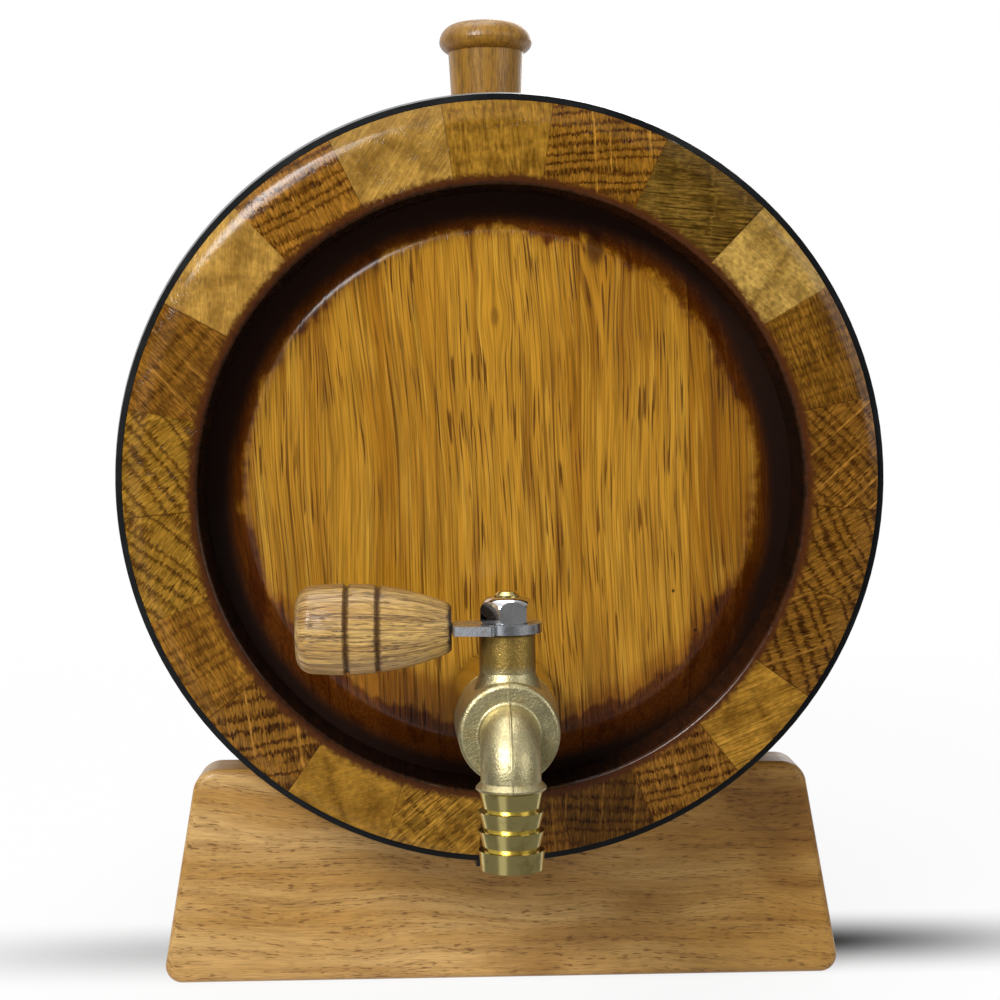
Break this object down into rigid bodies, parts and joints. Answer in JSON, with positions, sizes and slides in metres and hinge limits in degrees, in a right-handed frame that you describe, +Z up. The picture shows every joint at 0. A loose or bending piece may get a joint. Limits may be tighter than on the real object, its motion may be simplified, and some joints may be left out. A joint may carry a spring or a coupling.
{
  "type": "oak cask liquor dispenser",
  "caption": "Small coopered oak cask lying in a two-board cradle stand, with a quarter-turn brass ball tap, wooden tap handle and a tapered bung.",
  "frame": {"origin": "on the floor under the middle of the stand, at the centre of the stretcher's underside", "axes": "+Z up, -Y towards the tapped head and the person pouring, +X to that person's right"},
  "size_m": [0.2108, 0.3189, 0.2713],
  "materials": {
    "stave_oak": "varnished oak end grain and staves",
    "head_oak": "gloss varnished oak, scorched at the rim",
    "dowel_wood": "plain beech",
    "bung_wood": "turned and varnished",
    "handle_oak": "turned pale oak, lacquered",
    "stand_oak": "varnished oak boards",
    "hoop_steel": "black painted strip steel",
    "tap_brass": "sand cast, turned at the barbs",
    "lever_zinc": "zinc plated pressing",
    "nut_chrome": "bright plated",
    "ball_chrome": "polished",
    "gasket_rubber": "matt black",
    "seal_rubber": "matt black",
    "seat_plastic": "white fluoropolymer"
  },
  "bodies": {
    "stand": {"front_cradle": "stand_oak", "rear_cradle": "stand_oak", "stand_stretcher": "stand_oak", "stand_dowels": "dowel_wood"},
    "cask": {"stave_01": "stave_oak", "stave_02": "stave_oak", "stave_03": "stave_oak", "stave_04": "stave_oak", "stave_05": "stave_oak", "stave_06": "stave_oak", "stave_07": "stave_oak", "stave_08": "stave_oak", "stave_09": "stave_oak", "stave_10": "stave_oak", "stave_11": "stave_oak", "stave_12": "stave_oak", "stave_13": "stave_oak", "stave_14": "stave_oak", "stave_15": "stave_oak", "stave_16": "stave_oak", "stave_17": "stave_oak", "stave_18": "stave_oak", "stave_19": "stave_oak", "stave_20": "stave_oak", "stave_21": "stave_oak", "stave_22": "stave_oak", "front_head_board_1": "head_oak", "front_head_board_2": "head_oak", "front_head_board_3": "head_oak", "front_head_board_4": "head_oak", "front_head_board_5": "head_oak", "rear_head_board_1": "head_oak", "rear_head_board_2": "head_oak", "rear_head_board_3": "head_oak", "rear_head_board_4": "head_oak", "rear_head_board_5": "head_oak", "front_head_dowels": "dowel_wood", "rear_head_dowels": "dowel_wood", "front_chime_hoop": "hoop_steel", "front_bilge_hoop": "hoop_steel", "rear_bilge_hoop": "hoop_steel", "rear_chime_hoop": "hoop_steel", "hoop_rivets": "hoop_steel", "tap_gasket": "gasket_rubber", "tap_shank": "tap_brass", "tap_body": "tap_brass", "front_ball_seat": "seat_plastic", "rear_ball_seat": "seat_plastic", "thrust_washer": "seat_plastic"},
    "bung": {"bung": "bung_wood"},
    "valve": {"valve_ball": "ball_chrome", "valve_stem": "tap_brass", "stem_seal": "seal_rubber", "lever": "lever_zinc", "lever_nut": "nut_chrome", "handle": "handle_oak"}
  },
  "joints": [
    {"name": "cask_lift", "type": "slide", "parent": "stand", "child": "cask", "axis": [0, 0, 1], "range_m": [0, 0.12]},
    {"name": "bung_pull", "type": "slide", "parent": "cask", "child": "bung", "axis": [0, 0, 1], "range_m": [0, 0.07]},
    {"name": "lever_turn", "type": "hinge", "parent": "cask", "child": "valve", "pos_m": [0, -0.1625, 0.08], "axis": [0, 0, 1], "range_deg": [0, 90]}
  ]
}
